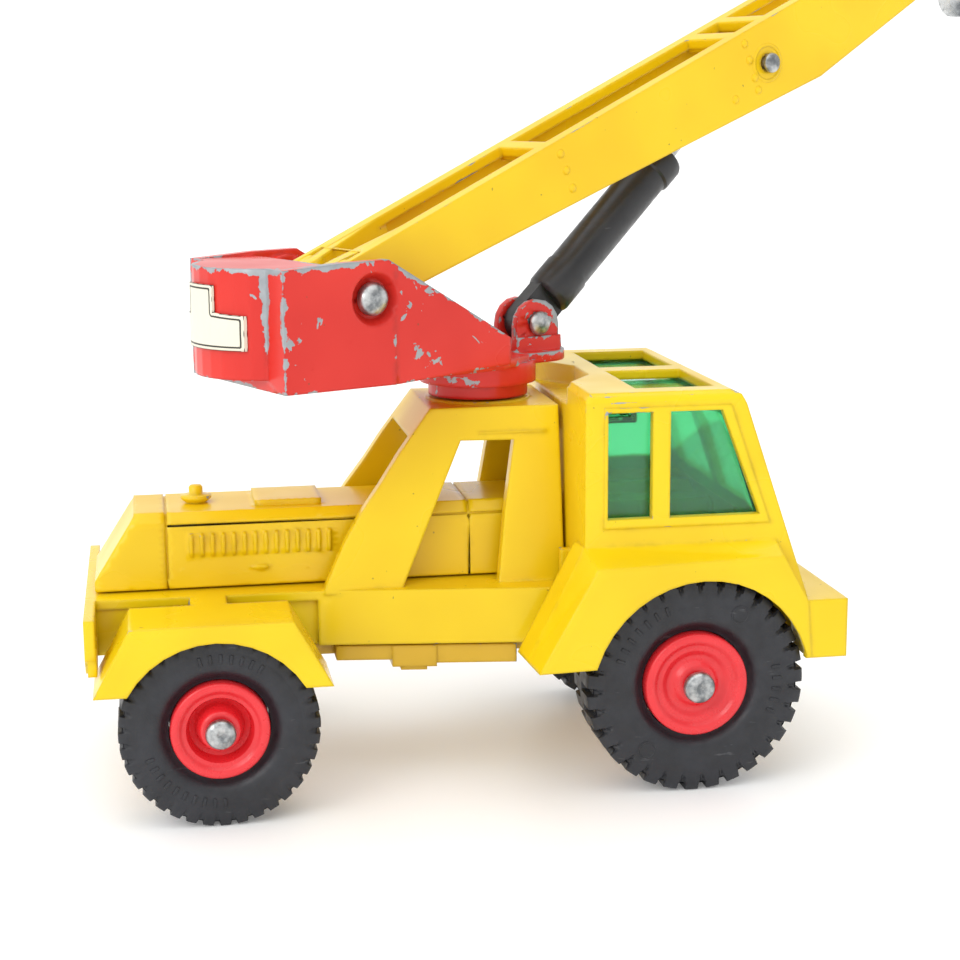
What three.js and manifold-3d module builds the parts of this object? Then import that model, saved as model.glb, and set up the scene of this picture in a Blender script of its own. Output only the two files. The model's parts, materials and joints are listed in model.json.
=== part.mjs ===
// Toy crane truck: a die-cast wheeled crane with a slewing superstructure and a luffing boom.
// Frame: +X towards the cab, +Z up, the near side is -Y, the ground is Z = 0.
import * as THREE from "three";
import { mergeVertices } from "three/addons/utils/BufferGeometryUtils.js";
import Module from "manifold-3d";

const wasm = await Module();
wasm.setup();

// ---- Driving dimensions --------------------------------------------------------------------
// They are drawn with the large tyre at 28 across; DRAWING_TO_MM brings that tyre to its real 24 mm.
const LARGE_TYRE_MM = 24;
const DRAWING_TO_MM = LARGE_TYRE_MM / 28;

// Wheels: the small pair under the hood end, the large pair under the cab.
const HOOD_AXLE_X = -29.65;
const CAB_AXLE_X = 29.65;
const SMALL_WHEEL = { tyreR: 12.1, hubR: 6.0, face: 24.0, width: 8.4, headR: 1.85 };
const LARGE_WHEEL = { tyreR: 14.0, hubR: 6.6, face: 23.0, width: 8.4, headR: 2.0 };
const AXLE_R = 1.05;
const BORE_GAP = 0.35;

// Chassis casting.
const DECK_Z = 25.5;
const DECK_T = 1.2;
const SIDE_BOTTOM_Z = 18.4;
const DECK_HALF = [
  [-44.2, 10.6],
  [-15.6, 11.2],
  [11.8, 15.2],
  [13.9, 15.4],
];
const END_PLATE = { x0: -45.3, x1: -44.0, half: 20.3, bottom: 18.5 };
const HOOD_FENDER = { inner: 14.9, outer: 25.2, skirtT: 0.9, archR: 12.2, archX: -29.9, archZ: 11.2 };

// Pylon, the A-shaped tower that carries the turntable.
const PYLON_TOP_Z = 47.85;
const PYLON_TOP_HALF = 8.9;
const PYLON_FLARE = 0.112;
const PYLON_WALL = 2.0;
const SLEW_X = 6.07;
const SLEW_HOLE_R = 2.4;

// Cab casting.
const CAB_REAR_X = 15.6;
const CAB_HALF = 21.5;
const ROOF_Z = 50.9;
const CAB_WALL = 1.2;
const SILL_Z = 35.3;
const HEAD_Z = 48.6;
const CAB_FENDER = { archR: 14.4, archX: 29.9, archZ: 13.4, inner: 17.8, shoulder: 21.5 };
const BUMPER = { x0: 43.7, x1: 49.0, half: 23.5, z0: 16.8, z1: 24.3 };

// Hood casting.
const HOOD_BOTTOM_Z = 25.8;
const HOOD_TOP_Z = 35.3;
const HOOD_END_X = 15.2;
const LOUVRES = { count: 14, first: -32.2, pitch: 1.34, z0: 29.75, z1: 32.7 };

// Superstructure, drawn in its own turned frame about the slew axis.
const SLEW_REST_DEG = 24.3;
const BODY_HALF = 12.0;
const BODY_BOTTOM_Z = 52.6;
const BODY_TOP_Z = 67.0;
const CHEEK_T = 1.6;
const SLOT_REAR_X = -26.8;
const TURNTABLE = { ringR: 6.5, flangeR: 7.6, z0: 48.4, z1: 50.1 };
const PIVOT = { x: -22.6, z: 63.0, pinR: 1.2, headR: 2.0 };
const RAM_FOOT = { x: 7.8, z: 57.2, pinR: 1.0, headR: 1.55 };

// Boom, drawn along its own line from the pivot.
const BOOM_REST_DEG = 23.8;
const BOOM_HALF = 5.95;
const BOOM_WALL = 1.1;
const BOOM_TOP_H = 3.9;
const BOOM_WEB = 1.5;
const BOOM_LIP = 2.05;
const BOOM_TIP = { s: 122, h: 0.6, r: 3.3 };
const BOOM_BOTTOM = [
  [10, -3.4],
  [55.6, -5.9],
  [81, -7.4],
];
const BOOM_PANELS = [
  [4.4, 33.3],
  [35.3, 68.1],
  [70.2, 74.2],
  [76.0, 104],
  [105.8, 115],
];
const RAM_HEAD = { s: 72.5, h: -1.7, pinR: 0.9, headR: 1.35 };

// Ram.
const RAM = {
  bodyR: 3.0,
  bodyStart: 4.4,
  collarR: 3.25,
  collarStart: 27.7,
  bodyEnd: 31.0,
  boreR: 1.75,
  rodR: 1.35,
  eyeR: 3.0,
  eyeHoleR: 2.1,
};
const RAM_EYE_HALF = 1.15;

const HOOK = { eyeR: 2.4, thick: 1.1, shank: 8.2, bowlR: 3.4 };

// ---- Materials -----------------------------------------------------------------------------
const paint = (color) => new THREE.MeshStandardMaterial({ color, roughness: 0.35, metalness: 0.0 });
const YELLOW = 0xf6d32b;
const RED = 0xdd4034;
const MATERIALS = {
  yellow: paint(YELLOW),
  hood: paint(0xf2ca28),
  red: paint(RED),
  steel: new THREE.MeshStandardMaterial({ color: 0xb9bcc0, roughness: 0.4, metalness: 0.9 }),
  hub: new THREE.MeshStandardMaterial({ color: 0xe4333a, roughness: 0.3, metalness: 0.0 }),
  tyre: new THREE.MeshStandardMaterial({ color: 0x3f4145, roughness: 0.7, metalness: 0.0 }),
  glass: new THREE.MeshStandardMaterial({
    color: 0x34b873,
    roughness: 0.08,
    metalness: 0.0,
    transparent: true,
    opacity: 0.5,
  }),
  black: new THREE.MeshStandardMaterial({ color: 0x26262a, roughness: 0.4, metalness: 0.0 }),
  label: new THREE.MeshStandardMaterial({ color: 0xf3f1e2, roughness: 0.5, metalness: 0.0 }),
};

// ---- Solid helpers -------------------------------------------------------------------------
function toSolid(geometry) {
  const bare = geometry.index ? geometry.toNonIndexed() : geometry.clone();
  bare.deleteAttribute("normal");
  bare.deleteAttribute("uv");
  const merged = mergeVertices(bare, 1e-4);
  return new wasm.Manifold(
    new wasm.Mesh({
      numProp: 3,
      vertProperties: new Float32Array(merged.attributes.position.array),
      triVerts: new Uint32Array(merged.index.array),
    }),
  );
}

function toGeometry(solid) {
  const mesh = solid.getMesh();
  const positions = new Float32Array(mesh.numProp === 3 ? mesh.vertProperties : []);
  const geometry = new THREE.BufferGeometry();
  geometry.setAttribute("position", new THREE.BufferAttribute(positions, 3));
  geometry.setIndex(new THREE.BufferAttribute(new Uint32Array(mesh.triVerts), 1));
  geometry.computeVertexNormals();
  return geometry;
}

const join = (...solids) => solids.reduce((a, b) => a.add(b));
const cut = (body, ...tools) => tools.reduce((a, b) => a.subtract(b), body);

function box(x0, x1, y0, y1, z0, z1) {
  const g = new THREE.BoxGeometry(x1 - x0, y1 - y0, z1 - z0);
  g.translate((x0 + x1) / 2, (y0 + y1) / 2, (z0 + z1) / 2);
  return toSolid(g);
}

function shapeOf(points) {
  return new THREE.Shape(points.map(([a, b]) => new THREE.Vector2(a, b)));
}

function extruded(shape, depth) {
  return new THREE.ExtrudeGeometry(shape, { depth, bevelEnabled: false, curveSegments: 12 });
}

// A plan outline (x, y) raised from z0 to z1.
function plan(points, z0, z1) {
  const g = extruded(shapeOf(points), z1 - z0);
  g.translate(0, 0, z0);
  return toSolid(g);
}

// A side outline (x, z) run across from y0 to y1.
function side(points, y0, y1) {
  const g = extruded(shapeOf(points), y1 - y0);
  g.rotateX(Math.PI / 2);
  g.translate(0, y1, 0);
  return toSolid(g);
}

// An end outline (y, z) run along from x0 to x1.
function end(points, x0, x1) {
  const g = extruded(shapeOf(points), x1 - x0);
  g.rotateX(Math.PI / 2);
  g.rotateZ(Math.PI / 2);
  g.translate(x0, 0, 0);
  return toSolid(g);
}

// A closed body between two outlines of equal length; each point is [x, y, z].
function loft(from, to) {
  const n = from.length;
  const flat = from.map(([x, , z]) => new THREE.Vector2(x, z));
  const faces = THREE.ShapeUtils.triangulateShape(flat, []);
  const sameSense = THREE.ShapeUtils.area(faces[0].map((i) => flat[i])) * THREE.ShapeUtils.area(flat) > 0;
  const index = [];
  for (const [a, b, c] of faces) {
    const [p, q] = sameSense ? [b, c] : [c, b];
    index.push(a, p, q);
    index.push(n + a, n + q, n + p);
  }
  for (let i = 0; i < n; i++) {
    const j = (i + 1) % n;
    index.push(j, i, n + i);
    index.push(j, n + i, n + j);
  }
  const g = new THREE.BufferGeometry();
  g.setAttribute("position", new THREE.Float32BufferAttribute([...from, ...to].flat(), 3));
  g.setIndex(index);
  const made = toSolid(g);
  if (made.volume() > 0) return made;
  g.setIndex(index.map((_, i) => index[i - (i % 3) + [0, 2, 1][i % 3]]));
  return toSolid(g);
}

// A turned body about Z from a profile of [radius, height] points.
function turned(profile, segments = 32) {
  const points = profile.map(([r, h]) => new THREE.Vector2(r, h));
  const g = new THREE.LatheGeometry(points, segments);
  g.rotateX(Math.PI / 2);
  return toSolid(g);
}

function placed(solid, matrix) {
  return toSolid(toGeometry(solid).applyMatrix4(matrix));
}

const MOVE = (x, y, z) => new THREE.Matrix4().makeTranslation(x, y, z);
const ALONG_Y = new THREE.Matrix4().makeRotationX(-Math.PI / 2);

// A turned body whose axis runs along Y through (x, z), its profile heights measured along Y.
function turnedY(profile, x, z, segments = 32) {
  return placed(turned(profile, segments), MOVE(x, 0, z).multiply(ALONG_Y));
}

const rodY = (r, y0, y1, x, z, segments = 16) =>
  turnedY(
    [
      [0, y0],
      [r, y0],
      [r, y1],
      [0, y1],
    ],
    x,
    z,
    segments,
  );

const rodZ = (r, z0, z1, x, y, segments = 20) =>
  placed(
    turned(
      [
        [0, z0],
        [r, z0],
        [r, z1],
        [0, z1],
      ],
      segments,
    ),
    MOVE(x, y, 0),
  );

// The span from inner to outer on one side: s is -1 for the near side, 1 for the far side.
const sideSpan = (s, inner, outer) => (s < 0 ? [-outer, -inner] : [inner, outer]);

// A headed pin along Y: a plain shank with a low dome on each end.
function headedPin(shankR, headR, half, headStart, x, z) {
  const rise = half - headStart;
  const rim = [0, 0.45, 1].map((t) => (t * Math.PI) / 2);
  const dome = (sign) => rim.map((a) => [headR * Math.cos(a), sign * (headStart + rise * Math.sin(a))]);
  const low = dome(-1).reverse();
  const high = dome(1);
  low[0][0] = 0;
  high[high.length - 1][0] = 0;
  return turnedY([...low, [shankR, -headStart], [shankR, headStart], ...high], x, z, 14);
}

// Both sides of a shape made for one side (-1 near, +1 far).
const bothSides = (make) => join(make(-1), make(1));

// An arc of points in a plane, angles in degrees.
function arc(cx, cy, r, from, to, steps) {
  const list = [];
  for (let i = 0; i <= steps; i++) {
    const a = THREE.MathUtils.degToRad(from + ((to - from) * i) / steps);
    list.push([cx + r * Math.cos(a), cy + r * Math.sin(a)]);
  }
  return list;
}

// ---- Chassis casting -----------------------------------------------------------------------
function hoodFender(s) {
  const { inner, outer, skirtT, archR, archX, archZ } = HOOD_FENDER;
  const outline = [
    [-44.4, 17.3],
    [-39.9, DECK_Z],
    [-20.6, DECK_Z],
    [-16.0, 17.3],
  ];
  const under = [
    [-43.4, 16],
    [-43.4, 17.3],
    [-39.4, DECK_Z - 0.8],
    [-21.1, DECK_Z - 0.8],
    [-17.0, 17.3],
    [-17.0, 16],
  ];
  const span = (a, b) => [Math.min(s * a, s * b), Math.max(s * a, s * b)];
  const shell = cut(side(outline, ...span(inner, outer)), side(under, ...span(inner - 1, outer - skirtT)));
  const bracket = join(
    box(-32.5, -28.0, ...span(9.4, inner + 0.2), DECK_Z - 1.0, DECK_Z),
    box(-31.2, -29.4, ...span(9.4, 13.2), DECK_Z - 4.0, DECK_Z - 0.5),
    box(-45.0, -43.9, ...span(14, outer - 5), 18.6, 22),
  );
  return join(cut(shell, rodY(archR, ...span(outer - 2, outer + 1), archX, archZ, 36)), bracket);
}

function pylonFrame(s) {
  const outline = [
    [-15.7, 25],
    [-15.5, 26],
    [-13.0, 31.3],
    [-10.8, 35.0],
    [-8.3, 38.4],
    [-5.7, 42.3],
    [-1.6, PYLON_TOP_Z],
    [14.9, PYLON_TOP_Z],
    [15.0, 42],
    [15.25, 25],
    [6.6, 25],
    [7.7, 34.7],
    [9.1, 43.6],
    [2.2, 43.7],
    [-5.9, 25],
  ];
  const wall = (z, inset) => s * (PYLON_TOP_HALF + (PYLON_TOP_Z - z) * PYLON_FLARE - inset);
  return loft(
    outline.map(([x, z]) => [x, wall(z, 0), z]),
    outline.map(([x, z]) => [x, wall(z, PYLON_WALL), z]),
  );
}

function pylonTop() {
  const outline = [
    [-4.3, 44.2],
    [-1.6, PYLON_TOP_Z],
    [14.9, PYLON_TOP_Z],
    [14.95, 44.2],
    [13.4, 44.2],
    [13.4, 46.1],
    [-0.9, 46.1],
    [-2.4, 44.2],
  ];
  return join(
    side(outline, -PYLON_TOP_HALF, PYLON_TOP_HALF),
    rodZ(6.9, PYLON_TOP_Z - 1, PYLON_TOP_Z + 0.25, SLEW_X, 0, 28),
  );
}

function chassis() {
  const edge = (s, inset) => DECK_HALF.map(([x, y]) => [x, s * (y - inset)]);
  const deck = plan([...edge(-1, 0), ...edge(1, 0).reverse()], DECK_Z - DECK_T, DECK_Z);
  const flush = (s) => {
    const outerEdge = [[-16.5, s * 11.18], ...edge(s, 0).slice(1)];
    const innerEdge = [[-16.5, s * 9.9], ...edge(s, 1.25).slice(1)].reverse();
    const loop = [...outerEdge, ...innerEdge];
    return plan(s < 0 ? loop : loop.reverse(), SIDE_BOTTOM_Z, DECK_Z - 0.3);
  };
  const inset = (s) => box(-44.1, -15.9, ...sideSpan(s, 9.1, 10.3), SIDE_BOTTOM_Z, DECK_Z - 0.3);
  const { x0, x1, half, bottom } = END_PLATE;
  const plate = end(
    [
      [-half, bottom + 2.2],
      [-half + 2.2, bottom],
      [half - 2.2, bottom],
      [half, bottom + 2.2],
      [half, DECK_Z],
      [-half, DECK_Z],
    ],
    x0,
    x1,
  );
  const post = rodZ(2.4, SIDE_BOTTOM_Z, DECK_Z - 1, -38, 0, 20);
  const bead = (s) => box(4.6, 13.3, s < 0 ? -9.42 : 9.0, s < 0 ? -9.0 : 9.42, 44.5, 44.75);
  const body = join(
    deck,
    bothSides(flush),
    bothSides(inset),
    plate,
    bothSides(hoodFender),
    bothSides(pylonFrame),
    pylonTop(),
    bothSides(bead),
    post,
  );
  return cut(
    body,
    rodZ(SLEW_HOLE_R, 40, 50, SLEW_X, 0),
    rodZ(1.3, SIDE_BOTTOM_Z - 1, DECK_Z - 2.4, -38, 0, 20),
  );
}

// ---- Cab casting ---------------------------------------------------------------------------
const CAB_PROFILE = [
  [CAB_REAR_X, 29.2],
  [CAB_REAR_X, 50.2],
  [CAB_REAR_X + 0.7, ROOF_Z],
  [34.2, ROOF_Z],
  [35.3, 50.4],
  [35.95, 49.2],
  [40.75, SILL_Z - 0.3],
  [44.4, 24.2],
  [43.1, 24.2],
  [41.4, 29.2],
];
const CAB_INSIDE = [
  [CAB_REAR_X + CAB_WALL, 28],
  [CAB_REAR_X + CAB_WALL, ROOF_Z - CAB_WALL],
  [33.7, ROOF_Z - CAB_WALL],
  [34.7, 49.0],
  [39.5, SILL_Z - 0.3],
  [41.9, 28],
];

// Outer face of the large mudguard: it closes in slightly towards the bumper.
const fenderFace = (x) => 27.33 - 0.0824 * x;

function cabFender(s) {
  const { archR, archX, archZ, inner, shoulder } = CAB_FENDER;
  const low = 16.9;
  const atFace = (pts, inset) => pts.map(([x, z]) => [x, s * (fenderFace(x) - inset), z]);
  const atY = (pts, y) => pts.map(([x, z]) => [x, s * y, z]);
  const face = [
    [8.8, 17.6],
    [16.2, 30.1],
    [40.4, 30.3],
    [43.8, 24.3],
    [44.4, low],
    [43.4, low],
    [43.2, 17.6],
  ];
  const shoulderLine = [
    [8.3, 17.8],
    [15.55, 31.95],
    [40.0, 31.95],
    [43.6, 24.3],
    [44.4, low],
    [43.4, low],
    [43.2, 17.6],
  ];
  const innerLine = [
    [7.8, 18.1],
    [15.0, 31.95],
    [40.0, 31.95],
    [43.6, 24.3],
    [44.4, low],
    [43.4, low],
    [43.2, 17.6],
  ];
  const faceUnder = [
    [9.9, 15],
    [9.95, 17.6],
    [16.8, 29.0],
    [39.8, 29.2],
    [43.1, 24.1],
    [43.9, 17.6],
    [43.9, 15],
  ];
  const innerUnder = [
    [8.9, 15],
    [8.95, 18.1],
    [15.6, 29.4],
    [39.8, 29.4],
    [43.1, 24.1],
    [43.9, 17.6],
    [43.9, 15],
  ];
  const outside = join(
    loft(atFace(face, 0), atY(shoulderLine, shoulder)),
    loft(atY(shoulderLine, shoulder + 0.01), atY(innerLine, inner)),
  );
  const hollow = loft(atFace(faceUnder, 1.0), atY(innerUnder, inner - 0.5));
  const arch = rodY(archR, Math.min(s * 20, s * 30), Math.max(s * 20, s * 30), archX, archZ, 40);
  return cut(outside, hollow, arch);
}

function windowHoles() {
  const sideWindows = [
    [
      [18.35, SILL_Z],
      [24.0, SILL_Z],
      [24.0, HEAD_Z],
      [18.35, HEAD_Z],
    ],
    [
      [26.2, SILL_Z],
      [37.8, SILL_Z],
      [32.8, HEAD_Z],
      [26.2, HEAD_Z],
    ],
  ];
  const holes = sideWindows.map((w) => side(w, -30, 30));
  for (const s of [-1, 1]) {
    const y0 = s < 0 ? -17.3 : 1.8;
    const y1 = s < 0 ? -1.8 : 17.3;
    holes.push(box(22.8, 32.9, y0, y1, 45, 55));
    const screen = [
      [33, SILL_Z],
      [45, SILL_Z],
      [45, 47.6],
      [33, 47.6],
    ];
    holes.push(side(screen, s < 0 ? -18.6 : 1.2, s < 0 ? -1.2 : 18.6));
  }
  return join(...holes);
}

// A low pad round both side windows, its outer edge standing proud of the cab side.
function windowPad(s) {
  const outline = [
    [17.9, SILL_Z - 1.1],
    [39.15, SILL_Z - 1.1],
    [33.9, HEAD_Z + 0.6],
    [17.9, HEAD_Z + 0.6],
  ];
  return side(outline, s < 0 ? -CAB_HALF - 0.28 : CAB_HALF - 0.3, s < 0 ? 0.3 - CAB_HALF : CAB_HALF + 0.28);
}

function cabBody() {
  const section = [
    [-CAB_HALF, 20],
    [CAB_HALF, 20],
    [CAB_HALF, ROOF_Z - 1.1],
    [CAB_HALF - 0.35, ROOF_Z - 0.35],
    [CAB_HALF - 1.1, ROOF_Z],
    [-CAB_HALF + 1.1, ROOF_Z],
    [-CAB_HALF + 0.35, ROOF_Z - 0.35],
    [-CAB_HALF, ROOF_Z - 1.1],
  ];
  const outer = side(CAB_PROFILE, -30, 30).intersect(end(section, 10, 50));
  const lining = side(CAB_INSIDE, -CAB_HALF + CAB_WALL, CAB_HALF - CAB_WALL);
  const notchFloor = ROOF_Z - 2.6;
  const notchPlan = [
    [14, -12],
    [15.9, -10.8],
    [20.0, -4.2],
    [20.0, 4.2],
    [15.9, 10.8],
    [14, 12],
  ];
  const notchPan = [
    [CAB_REAR_X, -12],
    [17.2, -11.4],
    [21.2, -4.6],
    [21.2, 4.6],
    [17.2, 11.4],
    [CAB_REAR_X, 12],
  ];
  const shell = cut(join(cut(outer, lining), bothSides(windowPad)), windowHoles());
  const pan = plan(notchPan, notchFloor - 1.1, ROOF_Z - 0.5);
  const upper = cut(join(shell, pan), plan(notchPlan, notchFloor, 55));
  const rail = (s) => box(14.25, 43.9, ...sideSpan(s, 12.4, 13.6), SIDE_BOTTOM_Z, 30);
  const wellRoof = (s) => box(CAB_REAR_X, 41.6, ...sideSpan(s, 12.6, 21.2), 29.2, 30.3);
  const { x0, x1, half, z0, z1 } = BUMPER;
  const bumper = cut(
    box(x0, x1, -half, half, z0, z1),
    box(x0 - 1, x1 - 1.1, 1.1 - half, half - 1.1, z0 - 1, z1 - 1.1),
  );
  const beam = box(35.6, 39.6, -13, 13, SIDE_BOTTOM_Z, 20.6);
  const frontWall = box(44.0, 45.0, -23, 23, 17.6, 24);
  const sides = join(bothSides(rail), bothSides(wellRoof), bothSides(cabFender));
  const body = join(upper, sides, bumper, beam, frontWall);
  return cut(body, rodZ(1.3, 10, 30, 37.6, 0, 20));
}

// Clear moulding: one thin shell that backs every window of the cab, open underneath.
function glazing() {
  const outside = [
    [CAB_REAR_X + CAB_WALL + 0.3, 33.5],
    [CAB_REAR_X + CAB_WALL + 0.3, 47.9],
    [21.6, 47.9],
    [21.6, ROOF_Z - CAB_WALL - 0.35],
    [33.4, ROOF_Z - CAB_WALL - 0.35],
    [34.2, 48.8],
    [39.45, 33.5],
  ];
  const inside = [
    [CAB_REAR_X + CAB_WALL + 1.2, 32],
    [CAB_REAR_X + CAB_WALL + 1.2, 47.0],
    [22.5, 47.0],
    [22.5, ROOF_Z - CAB_WALL - 1.25],
    [32.8, ROOF_Z - CAB_WALL - 1.25],
    [33.4, 48.2],
    [38.9, 32],
  ];
  const half = CAB_HALF - CAB_WALL - 0.3;
  const notchRoom = box(10, 21.9, -12.5, 12.5, 46.7, 55);
  const shell = cut(side(outside, -half, half), side(inside, 0.9 - half, half - 0.9));
  return cut(shell, notchRoom);
}

// ---- Hood casting --------------------------------------------------------------------------
function hood() {
  const section = [
    [-7.4, HOOD_BOTTOM_Z],
    [7.4, HOOD_BOTTOM_Z],
    [6.9, 34.1],
    [6.0, HOOD_TOP_Z],
    [-6.0, HOOD_TOP_Z],
    [-6.9, 34.1],
  ];
  const hollow = [
    [-6.3, HOOD_BOTTOM_Z - 1],
    [6.3, HOOD_BOTTOM_Z - 1],
    [5.8, 33.4],
    [5.2, HOOD_TOP_Z - 1.2],
    [-5.2, HOOD_TOP_Z - 1.2],
    [-5.8, 33.4],
  ];
  const nose = [
    [-50, 20],
    [-43.9, 20],
    [-44.1, 27.0],
    [-39.0, HOOD_TOP_Z - 0.3],
    [-38.7, 45],
    [-50, 45],
  ];
  const noseInside = nose.map(([x, z]) => [x + 1.3, z]);
  // Panel lines, cut a little way into the skin.
  const inset = 0.24;
  const core = section.map(([y, z]) => [y - Math.sign(y) * inset, z > 30 ? z - inset : z - 1]);
  const skin = cut(end(section, -47, HOOD_END_X + 1), end(core, -48, HOOD_END_X + 2));
  const lines = join(
    box(-35.15, -34.85, -9, 9, 24, 40),
    box(3.35, 3.65, -9, 9, 24, 40),
    box(-35, HOOD_END_X + 1, -9, 9, 33.62, 33.9),
  );
  const grooves = lines.intersect(skin);
  const shell = cut(
    cut(end(section, -46, HOOD_END_X), side(nose, -10, 10)),
    cut(end(hollow, -46, HOOD_END_X - 1.2), side(noseInside, -10, 10)),
  );
  const pad = box(-23.7, -15.2, -4.3, 4.3, HOOD_TOP_Z - 0.5, 36.0);
  const cap = placed(
    turned(
      [
        [0, 34.4],
        [1.3, 34.4],
        [1.3, 35.3],
        [2.0, 35.9],
        [2.0, 36.25],
        [0.9, 36.35],
        [0.9, 37.3],
        [0.7, 37.55],
        [0, 37.6],
      ],
      20,
    ),
    MOVE(-31.0, 0, 0),
  );
  const { count, first, pitch, z0, z1 } = LOUVRES;
  const ribs = [];
  for (const s of [-1, 1]) {
    for (let i = 0; i < count; i++) {
      const x = first + i * pitch;
      const blade = [
        [s * 6.6, z0],
        [s * 7.32, z0],
        [s * 7.42, z1 - 0.5],
        [s * 7.3, z1],
        [s * 6.6, z1],
      ];
      ribs.push(end(s > 0 ? blade : blade.reverse(), x, x + 0.45));
    }
    const latch = arc(-23.4, 28.1, 1, 0, 360, 12).slice(0, -1);
    const oval = latch.map(([x, z]) => [-23.4 + (x + 23.4) * 1.1, 28.1 + (z - 28.1) * 0.32]);
    ribs.push(side(oval, s < 0 ? -7.65 : 6.6, s < 0 ? -6.6 : 7.65));
  }
  return join(cut(shell, grooves), pad, cap, ...ribs);
}

// ---- Base and running gear -----------------------------------------------------------------
function baseplate() {
  const z0 = 16.6;
  const z1 = SIDE_BOTTOM_Z - 0.3;
  const outline = [
    [-43.2, -9.0],
    [-15.0, -9.0],
    [13.9, -12.0],
    [43.2, -12.0],
    [43.2, 12.0],
    [13.9, 12.0],
    [-15.0, 9.0],
    [-43.2, 9.0],
  ];
  // A block that shows under the chassis side, set in a little from it.
  const flankHalf = (x) => 11.2 + (4.0 * (x + 15.6)) / 27.4;
  const flank = (x0, x1, low, setIn) => {
    const near = [
      [x0, flankHalf(x0) - setIn],
      [x1, flankHalf(x1) - setIn],
    ];
    return plan([...near.map(([x, y]) => [x, -y]), ...near.reverse()], low, z1);
  };
  const saddle = (x, z, half) =>
    side(
      [
        [x - 3.6, z0 + 0.5],
        [x - 2.4, z - 2.6],
        [x + 2.4, z - 2.6],
        [x + 3.6, z0 + 0.5],
      ].reverse(),
      -half,
      half,
    );
  const body = join(
    plan(outline, z0, z1),
    saddle(HOOD_AXLE_X, SMALL_WHEEL.tyreR, 10.6),
    saddle(CAB_AXLE_X, LARGE_WHEEL.tyreR, 12.6),
    flank(-14.3, -7.3, 16.2, 0.5),
    flank(-7.3, -1.7, 15.3, 0.3),
    flank(-6.2, -2.9, 14.8, 0.6),
    flank(-1.7, 8.4, 15.7, 0.5),
  );
  return cut(
    body,
    rodY(AXLE_R + BORE_GAP, -20, 20, HOOD_AXLE_X, SMALL_WHEEL.tyreR),
    rodY(AXLE_R + BORE_GAP, -20, 20, CAB_AXLE_X, LARGE_WHEEL.tyreR),
    rodZ(1.3, 10, 20, -38, 0, 20),
    rodZ(1.3, 10, 20, 37.6, 0, 20),
  );
}

// A rivet set from below, its head under the baseplate.
function baseRivet(x, top) {
  const profile = [
    [0, 15.2],
    [1.2, 15.3],
    [2.0, 15.8],
    [2.0, 16.3],
    [1.0, 16.3],
    [1.0, top],
    [0, top],
  ];
  return placed(turned(profile, 14), MOVE(x, 0, 0));
}

function axle(x, wheel) {
  return headedPin(AXLE_R, wheel.headR, wheel.face + 1.9, wheel.face + 0.75, x, wheel.tyreR);
}

// Hub and tyre profiles run [radius, distance outwards from the tyre's inner face].
function hubProfile(wheel, deep) {
  const w = wheel.width;
  const r = wheel.hubR;
  const bore = AXLE_R + BORE_GAP;
  const face = deep
    ? [
        [r, w - 0.1],
        [r - 1.0, w],
        [r - 1.3, w - 2.3],
        [2.9, w - 2.3],
        [2.3, w + 0.1],
      ]
    : [
        [r, w - 0.1],
        [r - 1.2, w],
        [r - 1.9, w - 1.0],
        [2.8, w - 1.0],
        [2.3, w + 0.1],
      ];
  return [[bore, 0.3], [r, 0.3], ...face, [bore, w + 0.1], [bore, 0.3]];
}

function tyreProfile(wheel) {
  const w = wheel.width;
  const R = wheel.tyreR;
  const r = wheel.hubR + 0.3;
  return [
    [r, 0.3],
    [R - 1.6, 0],
    [R - 0.25, 0.4],
    [R, 1.1],
    [R, w - 1.1],
    [R - 0.25, w - 0.4],
    [R - 1.6, w],
    [r, w - 0.4],
    [r, 0.3],
  ];
}

function wheelSolid(profile, wheel, x, s, segments) {
  const inner = wheel.face - wheel.width;
  const outward = profile.map(([r, h]) => [r, s * (inner + h)]);
  return turnedY(s > 0 ? outward : outward.reverse(), x, wheel.tyreR, segments);
}

// ---- Turntable rivet -----------------------------------------------------------------------
function turntableRivet() {
  const profile = [
    [0, 44.5],
    [2.6, 44.7],
    [3.4, 45.2],
    [3.4, 45.8],
    [2.05, 45.8],
    [2.05, 54.5],
    [3.4, 54.5],
    [3.4, 54.9],
    [2.4, 55.5],
    [0, 55.7],
  ];
  return placed(turned(profile, 20), MOVE(SLEW_X, 0, 0));
}

// ---- Superstructure ------------------------------------------------------------------------
const TAIL_X = -35.0;
const TAIL_BULGE = { x: -30.6, r: 9.0, half: 60.7 };
const tailArc = (r, half, steps) => arc(TAIL_BULGE.x, 0, r, 180 + half, 180 - half, steps);

function cheek(s) {
  const rear = [
    [TAIL_X, BODY_BOTTOM_Z],
    [-19.9, BODY_BOTTOM_Z],
    [-19.9, 67.1],
    [-20.7, 67.6],
    [-27, 67.5],
    [TAIL_X, BODY_TOP_Z],
  ];
  const front = [
    [-20.2, BODY_BOTTOM_Z],
    [-2.0, 53.4],
    [-2.0, 56.8],
    [-19.9, 67.1],
    [-20.2, 67.1],
  ];
  const closing = (x) => BODY_HALF - Math.max(0, (1.6 * (x + 19.9)) / 17.9);
  const rearWall = side(rear, ...sideSpan(s, BODY_HALF - CHEEK_T, BODY_HALF));
  const frontWall = loft(
    front.map(([x, z]) => [x, s * closing(x), z]),
    front.map(([x, z]) => [x, s * (closing(x) - CHEEK_T), z]),
  );
  const boss = rodY(4.0, ...sideSpan(s, 9.2, 11), PIVOT.x, PIVOT.z, 20);
  return join(rearWall, frontWall, boss);
}

function pivotRecess(s) {
  const profile = [
    [0, 10.6],
    [2.4, 10.6],
    [3.4, 12.2],
    [0, 12.2],
  ].map(([r, y]) => [r, s * y]);
  return turnedY(s > 0 ? profile : profile.reverse(), PIVOT.x, PIVOT.z, 20);
}

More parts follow.
